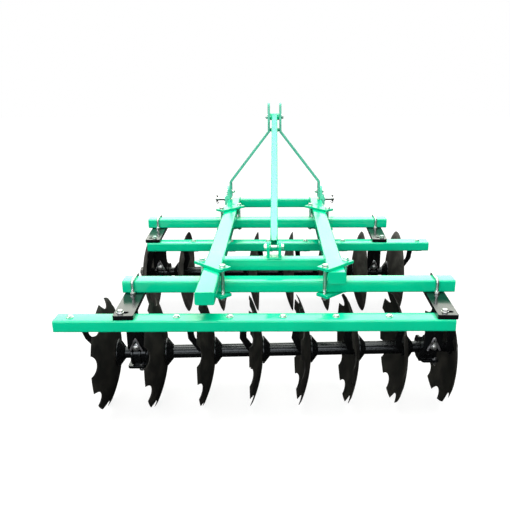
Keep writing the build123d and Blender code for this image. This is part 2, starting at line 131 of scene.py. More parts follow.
def along(path: np.ndarray, radius: np.ndarray | float, side: Vector, count: int) -> Shell:
    """Carries a circle along a path that lies in one plane.

    Formula: ring point = path point + radius times (cosine of the angle times side + sine of the
    angle times the cross product of the tangent with side). A first and a last ring of no radius
    close the ends.

    Args:
        path: array of points, shape (n, 3).
        radius: one value, one per path point, or one per path point and ring point.
        side: unit vector across the path's plane.
        count: points round a ring.

    Returns:
        The closed tube.
    """
    tangent = np.gradient(path, axis=0)
    tangent /= np.linalg.norm(tangent, axis=1, keepdims=True)
    across = np.array(side, float)
    lift = np.cross(tangent, across)
    angle = np.linspace(0, 2 * math.pi, count, endpoint=False)
    size = np.asarray(radius, float)
    size = np.broadcast_to(size if size.ndim == 2 else size.reshape(-1, 1), (len(path), count))
    ring = np.cos(angle)[None, :, None] * across + np.sin(angle)[None, :, None] * lift[:, None]
    points = path[:, None] + size[..., None] * ring
    caps = [np.repeat(path[k][None, None], count, 1) for k in (0, -1)]
    return grid(np.concatenate([caps[0], points, caps[1]], 0))


def rounded_path(corners: list[Vector], radius: float, step: float) -> np.ndarray:
    """Points along straight runs joined by arcs.

    Formula: each inner corner is swapped for a quadratic curve that starts and ends one radius
    from it, and the whole line is then resampled at even steps of its length.

    Args:
        corners: the corner points.
        radius: how far from a corner its curve starts.
        step: spacing of the points.

    Returns:
        Array of shape (n, 3).
    """
    points = [np.array(corners[0], float)[None]]
    t = np.linspace(0, 1, 9)[:, None]
    for before, corner, after in zip(corners, corners[1:], corners[2:]):
        a = np.array(corner + (before - corner).normalized() * radius)
        b = np.array(corner + (after - corner).normalized() * radius)
        c = np.array(corner)
        points.append((1 - t) ** 2 * a + 2 * t * (1 - t) * c + t**2 * b)
    points.append(np.array(corners[-1], float)[None])
    line = np.concatenate(points)
    length = np.concatenate([[0], np.cumsum(np.linalg.norm(np.diff(line, axis=0), axis=1))])
    at = np.linspace(0, length[-1], max(4, int(length[-1] / step)))
    return np.stack([np.interp(at, length, line[:, k]) for k in range(3)], -1)


def arc(
    centre: Vector, first: Vector, second: Vector, start: float, end: float, count: int
) -> np.ndarray:
    """Points of an arc: centre plus the cosine of the angle times first and the sine times second."""
    angle = np.radians(np.linspace(start, end, count))[:, None]
    return np.array(centre) + np.cos(angle) * np.array(first) + np.sin(angle) * np.array(second)


def facing(at: Vector, way: Vector, spin: float = 0.0) -> Matrix:
    """Matrix that sets a shape's +Z along way at a point, turned about it by spin degrees."""
    turn = Vector(way).to_track_quat("Z", "Y").to_matrix().to_4x4()
    return Matrix.Translation(at) @ turn @ Matrix.Rotation(math.radians(spin), 4, "Z")


def make_piece(
    name: str, shells: list[Shell], finish: "Finish", body: str, crease: float = 38.0
) -> bpy.types.Object:
    """Makes one object of several surfaces, with merged points and outward faces.

    Args:
        name: the piece's name.
        shells: its surfaces, already in place.
        finish: its material and the record's slot.
        body: the body it rides on.
        crease: angle in degrees from which an edge stays sharp.

    Returns:
        The object.
    """
    starts = np.cumsum([0] + [len(s.points) for s in shells[:-1]])
    mesh = bpy.data.meshes.new(name)
    mesh.from_pydata(
        np.concatenate([s.points for s in shells]).tolist(),
        [],
        np.concatenate([s.quads + n for s, n in zip(shells, starts)]).tolist(),
    )
    work = bmesh.new()
    work.from_mesh(mesh)
    bmesh.ops.remove_doubles(work, verts=work.verts, dist=1e-6)
    bmesh.ops.recalc_face_normals(work, faces=work.faces)
    work.to_mesh(mesh)
    work.free()
    return dress(bpy.data.objects.new(name, mesh), finish, body, crease)


def dress(piece: bpy.types.Object, finish: "Finish", body: str, crease: float) -> bpy.types.Object:
    """Links a piece, shades it, gives it its finish and lets it ride on its body.

    Args:
        piece: the object.
        finish: its material and the record's slot.
        body: the body it rides on.
        crease: angle in degrees from which an edge stays sharp.

    Returns:
        The same object.
    """
    bpy.context.scene.collection.objects.link(piece)
    mesh = piece.data
    mesh.shade_smooth()
    mesh.set_sharp_from_angle(angle=math.radians(crease))
    mesh.materials.clear()
    mesh.materials.append(finish.material())
    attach(piece, body)
    log.info("%s: %d faces on %s", piece.name, len(mesh.polygons), body)
    return piece


def eased_copy(node: str, finish: "Finish", body: str, width: float) -> bpy.types.Object:
    """Stands a copy with softly broken edges in for a solid.

    Args:
        node: the solid's name.
        finish: its material and slot.
        body: the body it rides on.
        width: width of the broken edge, or 0 to leave the edges as they are.

    Returns:
        The new piece.
    """
    mesh = frame["nodes"][node].data.copy()
    work = bmesh.new()
    work.from_mesh(mesh)
    bmesh.ops.remove_doubles(work, verts=work.verts, dist=2e-6)
    bmesh.ops.dissolve_limit(
        work, angle_limit=math.radians(0.5), verts=work.verts, edges=work.edges
    )
    work.to_mesh(mesh)
    work.free()
    piece = bpy.data.objects.new(f"{node}_shape", mesh)
    dress(piece, finish, body, CREASE)
    if width:
        ease = piece.modifiers.new("eased_edges", "BEVEL")
        ease.width = width
        ease.segments = 2
        ease.limit_method = "ANGLE"
        ease.angle_limit = math.radians(CREASE)
        ease.use_clamp_overlap = False
        ease.harden_normals = True
    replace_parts(piece, node)
    return piece


# ---------------------------------------------------------------- materials


class Graph:
    """Short way to add and join shader nodes."""

    def __init__(self, tree: bpy.types.NodeTree) -> None:
        """Keeps the tree and places new nodes in a row."""
        self.tree = tree
        self.count = 0

    def add(self, kind: str, settings: dict | None = None, **inputs: object) -> bpy.types.Node:
        """Adds a node.

        Args:
            kind: node type without the leading "ShaderNode".
            settings: properties of the node.
            inputs: socket name with "_" for a space, and a value or an output to join.

        Returns:
            The node.
        """
        node = self.tree.nodes.new(kind if kind.startswith("Node") else "ShaderNode" + kind)
        node.location = (self.count % 8 * 190, -(self.count // 8) * 280)
        self.count += 1
        for key, value in (settings or {}).items():
            setattr(node, key, value)
        for key, value in inputs.items():
            socket = self.socket(node, key)
            if isinstance(value, bpy.types.NodeSocket):
                self.tree.links.new(value, socket)
            else:
                socket.default_value = value
        return node

    @staticmethod
    def socket(node: bpy.types.Node, key: str) -> bpy.types.NodeSocket:
        """Finds an input of a node.

        Args:
            node: the node.
            key: its name with "_" for a space, or its place as i0, i1 or i2.

        Returns:
            The input.
        """
        if key[0] == "i" and key[1:].isdigit():
            return node.inputs[int(key[1:])]
        return node.inputs[key.replace("_", " ")]

    def maths(self, operation: str, a: Number, b: Number, c: Number = 0.0) -> bpy.types.NodeSocket:
        """Adds one calculation and returns its value."""
        return self.add("Math", {"operation": operation}, i0=a, i1=b, i2=c).outputs[0]

    def blend(
        self, share: Number, a: Colour | bpy.types.NodeSocket, b: Colour | bpy.types.NodeSocket
    ) -> bpy.types.NodeSocket:
        """Mixes two colours.

        Args:
            share: how much of the second colour there is, from 0 to 1.
            a: the first colour.
            b: the second colour.

        Returns:
            The mixed colour.
        """
        node = self.add("Mix", {"data_type": "RGBA"}, i0=share)
        for place, value in ((6, a), (7, b)):
            if isinstance(value, bpy.types.NodeSocket):
                self.tree.links.new(value, node.inputs[place])
            else:
                node.inputs[place].default_value = value
        return node.outputs[2]

    def span(
        self, value: Number, low: float, high: float, out_low: float, out_high: float
    ) -> bpy.types.NodeSocket:
        """Maps a range of values to another one, clamped."""
        ends = {"From_Min": low, "From_Max": high, "To_Min": out_low, "To_Max": out_high}
        return self.add("MapRange", Value=value, **ends).outputs[0]


def effect(
    name: str,
    inputs: dict[str, Colour | float],
    outputs: dict[str, str],
    build: Callable[[Graph, bpy.types.Node, bpy.types.Node], None],
) -> bpy.types.NodeTree:
    """Makes a shader node group once and returns it.

    Args:
        name: the group's name.
        inputs: socket names with their start values; a 4-tuple is a colour.
        outputs: socket names with their kinds, Color, Float or Vector.
        build: function of (graph, input node, output node) that fills the group.

    Returns:
        The group.
    """
    group = bpy.data.node_groups.get(name)
    if group:
        return group
    group = bpy.data.node_groups.new(name, "ShaderNodeTree")
    for key, value in inputs.items():
        kind = "NodeSocketColor" if isinstance(value, tuple) else "NodeSocketFloat"
        group.interface.new_socket(key, in_out="INPUT", socket_type=kind).default_value = value
    for key, kind in outputs.items():
        group.interface.new_socket(key, in_out="OUTPUT", socket_type="NodeSocket" + kind)
    graph = Graph(group)
    build(graph, graph.add("NodeGroupInput"), graph.add("NodeGroupOutput"))
    return group


def coat_skin() -> bpy.types.NodeTree:
    """Sprayed paint: slow tone drift, orange peel, and fine nibs in the film.

    Returns:
        The group.
    """

    def build(g: Graph, given: bpy.types.Node, out: bpy.types.Node) -> None:
        """Works out the film's colour, roughness and bumps.

        Args:
            g: the group's graph.
            given: node with the group's inputs.
            out: node with the group's outputs.
        """
        place = g.add("TexCoord").outputs["Object"]
        drift = g.add("TexNoise", Vector=place, Scale=7.0, Detail=3.0).outputs["Fac"]
        tone = g.span(drift, 0.3, 0.7, 0.94, 1.05)
        colour = g.add("HueSaturation", Value=tone, Color=given.outputs["Colour"]).outputs[0]
        g.tree.links.new(colour, out.inputs["Colour"])
        streak = g.add("TexNoise", Vector=place, Scale=19.0, Detail=4.0).outputs["Fac"]
        rough = g.maths("ADD", given.outputs["Roughness"], g.span(streak, 0.35, 0.7, -0.03, 0.08))
        g.tree.links.new(rough, out.inputs["Roughness"])
        peel = g.add("TexNoise", Vector=place, Scale=given.outputs["Peel Scale"], Detail=2.0)
        nibs = g.add("TexVoronoi", Vector=place, Scale=140.0).outputs["Distance"]
        nib = g.span(nibs, 0.02, 0.09, 0.35, 0.0)
        height = g.maths("ADD", peel.outputs["Fac"], nib)
        bump = g.add("Bump", Strength=given.outputs["Peel"], Distance=0.0004, Height=height)
        g.tree.links.new(bump.outputs[0], out.inputs["Normal"])

    return effect(
        "coat_skin",
        {"Colour": (0.5, 0.5, 0.5, 1), "Roughness": 0.2, "Peel": 0.1, "Peel Scale": 260.0},
        {"Colour": "Color", "Roughness": "Float", "Normal": "Vector"},
        build,
    )


def sand_cast() -> bpy.types.NodeTree:
    """Rough cast iron: coarse lumps with fine sand pits on top.

    Returns:
        The group.
    """

    def build(g: Graph, given: bpy.types.Node, out: bpy.types.Node) -> None:
        """Works out the bumps and a mask of the lumps' tops.

        Args:
            g: the group's graph.
            given: node with the group's inputs.
            out: node with the group's outputs.
        """
        place = g.add("TexCoord").outputs["Object"]
        lumps = g.add("TexNoise", Vector=place, Scale=95.0, Detail=3.0).outputs["Fac"]
        sand = g.add("TexNoise", Vector=place, Scale=620.0, Detail=2.0).outputs["Fac"]
        height = g.maths("MULTIPLY_ADD", sand, 0.45, lumps)
        bump = g.add("Bump", Strength=given.outputs["Depth"], Distance=0.0012, Height=height)
        g.tree.links.new(bump.outputs[0], out.inputs["Normal"])
        g.tree.links.new(g.span(lumps, 0.45, 0.7, 0.0, 1.0), out.inputs["High Spots"])

    return effect(
        "sand_cast", {"Depth": 0.3}, {"Normal": "Vector", "High Spots": "Float"}, build
    )


def turning_marks() -> bpy.types.NodeTree:
    """Rings about a level axle, from the distance to it: noise of that distance, finely spaced.

    Returns:
        The group.
    """

    def build(g: Graph, given: bpy.types.Node, out: bpy.types.Node) -> None:
        """Works out the distance to the axle, the rings and a mottle.

        Args:
            g: the group's graph.
            given: node with the group's inputs.
            out: node with the group's outputs.
        """
        place = g.add("TexCoord").outputs["Object"]
        parts = g.add("SeparateXYZ", Vector=place)
        y = g.maths("SUBTRACT", parts.outputs["Y"], given.outputs["Axle Y"])
        y = g.maths("SUBTRACT", y, g.maths("MULTIPLY", parts.outputs["X"], given.outputs["Slope"]))
        z = g.maths("SUBTRACT", parts.outputs["Z"], given.outputs["Axle Z"])
        flat = g.add("CombineXYZ", X=y, Y=z)
        radius = g.add("VectorMath", {"operation": "LENGTH"}, i0=flat.outputs[0]).outputs["Value"]
        g.tree.links.new(radius, out.inputs["Radius"])
        angle = g.maths("MULTIPLY", g.maths("ARCTAN2", z, y), 1.1)
        ring = g.add("CombineXYZ", X=g.maths("MULTIPLY", radius, 240.0), Y=angle)
        marks = g.add("TexNoise", Vector=ring.outputs[0], Scale=2.6, Detail=5.0, Roughness=0.6)
        g.tree.links.new(marks.outputs["Fac"], out.inputs["Marks"])
        mottle = g.add("TexNoise", Vector=place, Scale=15.0, Detail=7.0, Roughness=0.62)
        g.tree.links.new(mottle.outputs["Fac"], out.inputs["Mottle"])

    return effect(
        "turning_marks",
        {"Axle Y": 0.0, "Axle Z": 0.23, "Slope": 0.0},
        {"Radius": "Float", "Marks": "Float", "Mottle": "Float"},
        build,
    )


PLAIN_GLOSS: Colour = (1.0, 1.0, 1.0, 1)
COOL_GLOSS: Colour = (0.86, 0.93, 1.0, 1)


@dataclass(frozen=True)
class Finish:
    """A finish: its material's name, the record's slot and what fills the material."""

    name: str
    slot: str

    def material(self) -> bpy.types.Material:
        """Makes the finish's material on first use.

        Returns:
            The material.
        """
        found = bpy.data.materials.get(self.name)
        if found:
            return found
        made = bpy.data.materials.new(self.name)
        made.use_nodes = True
        made.node_tree.nodes.clear()
        graph = Graph(made.node_tree)
        shader = graph.add("BsdfPrincipled")
        output = graph.add("OutputMaterial", Surface=shader.outputs[0])
        output.location = (1700, 0)
        self.fill(graph, shader)
        return made

    def fill(self, graph: Graph, shader: bpy.types.Node) -> None:
        """Joins the finish's effects to the shader."""
        raise NotImplementedError

    @staticmethod
    def group(graph: Graph, tree: bpy.types.NodeTree, **inputs: Colour | float) -> bpy.types.Node:
        """Places an effect in the material with its own values.

        Args:
            graph: the material's graph.
            tree: the effect's group.
            inputs: input name with "_" for a space, and its value.

        Returns:
            The group's node.
        """
        node = graph.add("Group", {"node_tree": tree})
        for key, value in inputs.items():
            node.inputs[key.replace("_", " ")].default_value = value
        return node


@dataclass(frozen=True)
class SprayedPaint(Finish):
    """Glossy sprayed enamel."""

    colour: Colour = (0.0005, 0.585, 0.305, 1)
    roughness: float = 0.13
    peel: float = 0.05
    ior: float = 1.48
    tint: Colour = PLAIN_GLOSS

    def fill(self, graph: Graph, shader: bpy.types.Node) -> None:
        """Even enamel with orange peel, and a gloss of its own tint.

        Args:
            graph: the material's graph.
            shader: the material's shader.
        """
        skin = self.group(
            graph, coat_skin(), Colour=self.colour, Roughness=self.roughness, Peel=self.peel
        )
        link = graph.tree.links.new
        link(skin.outputs["Colour"], shader.inputs["Base Color"])
        link(skin.outputs["Roughness"], shader.inputs["Roughness"])
        link(skin.outputs["Normal"], shader.inputs["Normal"])
        shader.inputs["IOR"].default_value = self.ior
        shader.inputs["Specular Tint"].default_value = self.tint


@dataclass(frozen=True)
class PaintedCasting(Finish):
    """Black paint over rough cast iron."""

    colour: Colour = (0.004, 0.0043, 0.0047, 1)
    high_colour: Colour = (0.008, 0.0085, 0.009, 1)
    roughness: float = 0.19
    high_roughness: float = 0.16
    depth: float = 0.17
    ior: float = 1.45

    def fill(self, graph: Graph, shader: bpy.types.Node) -> None:
        """Sandy bumps under gloss paint, greyer and rougher on the high spots.

        Args:
            graph: the material's graph.
            shader: the material's shader.
        """
        cast = self.group(graph, sand_cast(), Depth=self.depth)
        high = cast.outputs["High Spots"]
        rough = graph.span(high, 0, 1, self.roughness, self.roughness + self.high_roughness)
        link = graph.tree.links.new
        link(graph.blend(high, self.colour, self.high_colour), shader.inputs["Base Color"])
        link(rough, shader.inputs["Roughness"])
        link(cast.outputs["Normal"], shader.inputs["Normal"])
        shader.inputs["IOR"].default_value = self.ior
        shader.inputs["Specular Tint"].default_value = COOL_GLOSS


@dataclass(frozen=True)
class BladeSteel(Finish):
    """Dipped black paint on a rolled disc blade, worn grey at its ground edge."""

    axle_y: float = 0.0
    slope: float = 0.0
    colour: Colour = (0.016, 0.016, 0.015, 1)
    # Tone of the lighter patches: dust on the rear gang; the front gang's lighter value adds painted
    # light.
    dusty: Colour = (0.050, 0.046, 0.039, 1)
    worn: Colour = (0.03, 0.028, 0.026, 1)
    edge: tuple[float, float] = (0.214, 0.2285)
    ior: float = 1.22

    def fill(self, graph: Graph, shader: bpy.types.Node) -> None:
        """Mottled satin black with turning rings, patches of a lighter tone and a worn rim; the tone
        is dust, with painted light added on the front gang.

        Args:
            graph: the material's graph.
            shader: the material's shader.
        """
        marks = self.group(graph, turning_marks(), Axle_Y=self.axle_y, Slope=self.slope)
        mottle = marks.outputs["Mottle"]
        tone = graph.blend(graph.span(mottle, 0.42, 0.74, 0.0, 0.85), self.colour, self.dusty)
        rings = graph.span(marks.outputs["Marks"], 0.35, 0.7, 0.82, 1.2)
        tone = graph.add("HueSaturation", Value=rings, Color=tone).outputs[0]
        outside = graph.span(marks.outputs["Radius"], *self.edge, 0.0, 0.5)
        wear = graph.maths("MULTIPLY", outside, graph.span(mottle, 0.4, 0.6, 0.15, 1.0))
        link = graph.tree.links.new
        link(graph.blend(wear, tone, self.worn), shader.inputs["Base Color"])
        rough = graph.maths("ADD", graph.span(mottle, 0.35, 0.7, 0.34, 0.56), wear)
        link(graph.maths("MINIMUM", rough, 0.6), shader.inputs["Roughness"])
        height = graph.maths("MULTIPLY_ADD", mottle, 0.5, marks.outputs["Marks"])
        bump = graph.add("Bump", Strength=0.16, Distance=0.0007, Height=height)
        link(bump.outputs[0], shader.inputs["Normal"])
        shader.inputs["IOR"].default_value = self.ior


@dataclass(frozen=True)
class ZincPlate(Finish):
    """Zinc plating, milky in places."""

    colour: Colour = (0.74, 0.77, 0.80, 1)
    straw: Colour = (0.62, 0.61, 0.56, 1)
    roughness: float = 0.30

    def fill(self, graph: Graph, shader: bpy.types.Node) -> None:
        """Bright plating with a faint straw bloom, dull patches and fine handling marks.

        Args:
            graph: the material's graph.
            shader: the material's shader.
        """
        place = graph.add("TexCoord").outputs["Object"]
        bloom = graph.add("TexNoise", Vector=place, Scale=120.0, Detail=4.0).outputs["Fac"]
        tone = graph.blend(graph.span(bloom, 0.4, 0.68, 0.0, 1.0), self.colour, self.straw)
        rough = graph.span(bloom, 0.3, 0.7, self.roughness - 0.05, self.roughness + 0.16)
        fine = graph.add("TexNoise", Vector=place, Scale=800.0, Detail=3.0).outputs["Fac"]
        bump = graph.add("Bump", Strength=0.12, Distance=0.0002, Height=fine)
        link = graph.tree.links.new
        link(tone, shader.inputs["Base Color"])
        link(rough, shader.inputs["Roughness"])
        link(bump.outputs[0], shader.inputs["Normal"])
        shader.inputs["Metallic"].default_value = 1.0


@dataclass(frozen=True)
class BareSteel(Finish):
    """Unpainted steel: dark and oiled on axles, nuts and linch pins; the lighter kinds on the arch
    ribs hold painted glints.
    """

    colour: Colour = (0.16, 0.155, 0.15, 1)
    oily: Colour = (0.045, 0.042, 0.04, 1)

    def fill(self, graph: Graph, shader: bpy.types.Node) -> None:
        """Mill scale with oil-dark patches and drawn lines along X.

        Args:
            graph: the material's graph.
            shader: the material's shader.
        """
        place = graph.add("TexCoord").outputs["Object"]
        long = graph.add("Mapping", Vector=place, Scale=(8.0, 400.0, 400.0)).outputs[0]
        lines = graph.add("TexNoise", Vector=long, Scale=1.0, Detail=3.0).outputs["Fac"]
        patch = graph.add("TexNoise", Vector=place, Scale=60.0, Detail=5.0).outputs["Fac"]
        tone = graph.blend(graph.span(patch, 0.4, 0.65, 0.0, 1.0), self.colour, self.oily)
        bump = graph.add("Bump", Strength=0.15, Distance=0.0003, Height=lines)
        link = graph.tree.links.new
        link(tone, shader.inputs["Base Color"])
        link(graph.span(patch, 0.3, 0.7, 0.3, 0.5), shader.inputs["Roughness"])
        link(bump.outputs[0], shader.inputs["Normal"])
        shader.inputs["Metallic"].default_value = 0.85


GREEN = SprayedPaint("green_enamel", "green")
BLACK = SprayedPaint(
    "black_enamel",
    "black",
    colour=(0.004, 0.0045, 0.005, 1),
    roughness=0.16,
    peel=0.07,
    tint=COOL_GLOSS,
)
# Painted highlight: the mast bars' green is paler and greyer than the frame's, to stand for the glare
# on them.
MAST_GLARE_GREEN = SprayedPaint("mast_glare_enamel", "green", colour=(0.09, 0.51, 0.36, 1), roughness=0.24)
# Painted highlight: the lugs' green is lighter than the frame's, to stand for the glare on their rear
# faces.
LUG_GLARE_GREEN = SprayedPaint("lug_glare_enamel", "green", colour=(0.14, 0.71, 0.49, 1), roughness=0.17)
CASTING = PaintedCasting("painted_casting", "cast")
ZINC = ZincPlate("zinc_plate", "zinc")
# The front bar's bolts take a greener, dimmer plating than the rear ones.
GREEN_TINT_ZINC = ZincPlate("green_tint_zinc", "zinc", colour=(0.34, 0.62, 0.54, 1), roughness=0.34)
DARK_STEEL = BareSteel("dark_steel", "steel")
# Painted highlights: these lighter steels colour the arch ribs to stand for the glints on the legs'
# arches, brighter on the front gang.
DIM_GLINT_STEEL = BareSteel("dim_glint_steel", "steel", colour=(0.42, 0.42, 0.45, 1))
BRIGHT_GLINT_STEEL = BareSteel("bright_glint_steel", "steel", colour=(0.80, 0.81, 0.84, 1))


# ---------------------------------------------------------------- fasteners


@dataclass
class Fastener:
    """Sizes and surfaces of one thread size of bolt."""

    radius: float
    flats: float
    nut: float
    head: float
    pitch: float
    washer: float = 0.0025

    def hexagon(self, height: float, domed: bool = False) -> Shell:
        """Nut or head with chamfered corners.

        Formula: a hexagonal prism capped by cones that fall at about 28 degrees from 0.94 of
        half the flats outwards; a nut has one at both ends and a head only on its free end.

        Args:
            height: how tall it is.
            domed: it has a cone at its lower end too.

        Returns:
            The surface, standing on height 0.
        """
        half = self.flats / 2
        fall = (1 / math.cos(math.pi / 6) - 0.94) * half * math.tan(math.radians(28))
        cone = [(half * (0.94 + 0.22 * t), fall * t) for t in (0.0, 0.35, 0.7, 1.0)]
        low = cone if domed else [(half * 1.2, 0.0)]
        high = [(radius, height - drop) for radius, drop in reversed(cone)]
        return turned([(0.0, 0.0), *low, *high, (0.0, height)], flats=self.flats)

    def flat_washer(self, factor: float = 1.32) -> Shell:
        """Round washer, factor times as wide as the flats, with both corners eased."""
        edge = rim(self.flats / 2 * factor, self.washer, self.washer / 4)
        return turned([(0.0, 0.0), *edge, (0.0, self.washer)], count=32)

    def stud(self, length: float, count: int = 14) -> Shell:
        """Threaded rod with a narrower last pitch.

        Formula: radius less 0.22 of it times a triangle wave of height over pitch minus the
        share of a turn; over the last pitch it narrows evenly to 0.78 of that.

        Args:
            length: how long it is.
            count: points round a ring.

        Returns:
            The surface, from height 0 up.
        """
        rows = max(6, int(length / self.pitch * 4))
        z = np.linspace(0, length, rows)[:, None]
        angle = np.linspace(0, 2 * math.pi, count, endpoint=False)[None]
        phase = (z / self.pitch - angle / (2 * math.pi)) % 1.0
        radius = self.radius * (1 - 0.22 * np.abs(phase - 0.5))
        radius = radius * np.clip(0.78 + (length - z) / self.pitch * 0.22, 0, 1)
        level = np.broadcast_to(z, radius.shape)
        points = np.stack([radius * np.cos(angle), radius * np.sin(angle), level], -1)
        ends = np.zeros((1, count, 3))
        top = ends + np.array([0, 0, length])
        return grid(np.concatenate([ends, points, top], 0))

    def shank(self, length: float) -> Shell:
        """Plain round rod."""
        r = self.radius
        return turned([(0, 0), (r, 0), (r, length), (0, length)], count=20)


M16 = Fastener(radius=0.008, flats=0.024, nut=0.013, head=0.010, pitch=0.002, washer=0.003)
M14 = Fastener(radius=0.007, flats=0.022, nut=0.013, head=0.009, pitch=0.002)
M12 = Fastener(radius=0.006, flats=0.019, nut=0.0105, head=0.008, pitch=0.00175)
AXLE_NUT = Fastener(radius=0.012, flats=0.046, nut=0.016, head=0.016, pitch=0.002)


class Gang(Enum):
    """The two rows of discs: name, and +1 where its axis runs along +X."""

    REAR = ("rear", 1)
    FRONT = ("front", -1)

    @property
    def label(self) -> str:
        """The row's name."""
        return self.value[0]

    @property
    def turn(self) -> int:
        """+1 or -1."""
        return self.value[1]

    @property
    def body(self) -> str:
        """The body that turns."""
        return f"{self.label}_gang"

    def axle(self) -> tuple[Vector, Vector]:
        """A point on the gang's turning axis and the axis itself, from left to right."""
        joint = next(j for j in frame["joints"] if j["child"] == self.body)
        return Vector(joint["pos_m"]), Vector(joint["axis"]).normalized()

    def axle_at(self, x: float) -> Vector:
        """The point of the turning axis at a place across the machine."""
        point, way = self.axle()
        return point + way * ((x - point.x) / way.x)


def middle(node: str) -> Vector:
    """Middle of a solid's box."""
    low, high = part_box(node)
    return (low + high) / 2


def reach(node: str, point: Vector, way: Vector) -> tuple[float, float]:
    """Measures a solid along a direction.

    Args:
        node: the solid's name.
        point: where the distance is counted from.
        way: unit vector of the direction.

    Returns:
        The least and the greatest distance of its points.
    """
    solid = frame["nodes"][node].data
    places = np.empty(len(solid.vertices) * 3, np.float32)
    solid.vertices.foreach_get("co", places)
    distance = (places.reshape(-1, 3) - np.array(point)) @ np.array(way)
    return float(distance.min()), float(distance.max())


UP = Vector((0, 0, 1))
DOWN = Vector((0, 0, -1))
ACROSS = Vector((1, 0, 0))
FORWARD = Vector((0, 1, 0))
BACKWARD = -FORWARD


@dataclass
class Crossings:
    """Bolts that squeeze the main tubes and the gang beams between plates."""

    offset: float = 0.045
    thread: float = 0.034
    tip: float = 0.004
    ease: float = 0.0014
    bolt: Fastener = field(default_factory=lambda: M14)

    def build(self) -> None:
        """Eases the plates and builds all bolts as one piece."""
        for level in ("top", "bottom"):
            eased_copy(f"clamp_{level}_plates", GREEN, "frame", self.ease)
        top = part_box("clamp_top_plates")[1].z
        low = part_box("clamp_bottom_plates")[0].z
        pieces = []
        for gang in Gang:
            y = middle(f"{gang.label}_gang_beam").y
            for side, tube in ((-1, "main_tube_left"), (1, "main_tube_right")):
                x = middle(tube).x
                for s in (-1, 1):
                    across = x + s * side * gang.turn * self.offset
                    spin = 17 + 23 * s + 31 * side
                    pieces += self.one_bolt(across, y + s * self.offset, low, top, spin)
        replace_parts(make_piece("crossing_bolts", pieces, ZINC, "frame"), "clamp_bolts")

    def one_bolt(self, x: float, y: float, low: float, top: float, spin: float) -> list[Shell]:
        """Bolt with its head and washer on top and its nut and washer below.

        Args:
            x: its place across the machine.
            y: its place along the machine.
            low: height of the lower plate's under side.
            top: height of the upper plate's top.
            spin: how far its head is turned, in degrees.

        Returns:
            Its surfaces.
        """
        bolt = self.bolt
        thread_top = Vector((x, y, low + self.thread))
        below = low - bolt.nut - self.tip
        return [
            bolt.hexagon(bolt.head).placed(facing(Vector((x, y, top + bolt.washer)), UP, spin)),
            bolt.flat_washer().placed(facing(Vector((x, y, top)), UP)),
            bolt.shank(top - low - self.thread).placed(facing(thread_top, UP)),
            bolt.stud(low + self.thread - below).placed(facing(thread_top, DOWN)),
            bolt.hexagon(bolt.nut - bolt.washer, True).placed(
                facing(Vector((x, y, low - bolt.washer)), DOWN, -spin)
            ),
            bolt.flat_washer(1.2).placed(facing(Vector((x, y, low)), DOWN)),
        ]


@dataclass
class UBolt:
    """Square-bent rod over the gang beam, with a nut above and below the plate on each leg."""

    rod: float = 0.006
    lift: float = 0.0003
    bend: float = 0.014
    gap: float = 0.013
    plate: float = 0.018
    tip: float = 0.016
    thread: float = 0.026
    nut_height: float = 0.010
    nut: Fastener = field(default_factory=lambda: M12)

    def legs(self, beam_low: Vector, beam_high: Vector) -> tuple[float, float]:
        """Finds the legs beside the beam.

        Args:
            beam_low: lowest corner of the beam.
            beam_high: highest corner of the beam.

        Returns:
            Y of the rear leg and of the front one.
        """
        half = (beam_high.y - beam_low.y) / 2 + self.gap
        centre = (beam_low.y + beam_high.y) / 2
        return centre - half, centre + half

    def bent_rod(self, x: float, beam_low: Vector, beam_high: Vector, top: float) -> Shell:
        """Rod over the beam, threaded at both ends.

        Formula: a circle carried round the beam's top; below the threaded height its radius is
        less by a fifth of a triangle wave of height over pitch minus the share of a turn.

        Args:
            x: its place across the machine.
            beam_low: lowest corner of the beam.
            beam_high: highest corner of the beam.
            top: height of the plate's top.

        Returns:
            The surface.
        """
        y0, y1 = self.legs(beam_low, beam_high)
        over = beam_high.z + self.rod + self.lift
        tip = top - self.plate - self.tip
        corners = [Vector((x, y, z)) for y, z in ((y0, tip), (y0, over), (y1, over), (y1, tip))]
        path = rounded_path(corners, self.bend, 0.0007)
        count = 14
        angle = np.linspace(0, 1, count, endpoint=False)[None]
        threaded = (path[:, 2] < top + self.thread)[:, None]
        phase = (path[:, 2:3] / self.nut.pitch - angle) % 1.0
        radius = np.where(threaded, self.rod * (1 - 0.2 * np.abs(phase - 0.5)), self.rod)
        return along(path, radius, ACROSS, count)

    def nuts(self, x: float, beam_low: Vector, beam_high: Vector, top: float) -> list[Shell]:
        """Nuts above and below the plate on both legs.

        Args:
            x: its place across the machine.
            beam_low: lowest corner of the beam.
            beam_high: highest corner of the beam.
            top: height of the plate's top.

        Returns:
            Their surfaces.
        """
        found, nut = [], self.nut.hexagon(self.nut_height, True)
        for k, y in enumerate(self.legs(beam_low, beam_high)):
            above, below = Vector((x, y, top)), Vector((x, y, top - self.plate))
            found += [
                nut.placed(facing(above, UP, 11 + 29 * k)),
                nut.placed(facing(below, DOWN, 5 + 17 * k)),
            ]
        return found


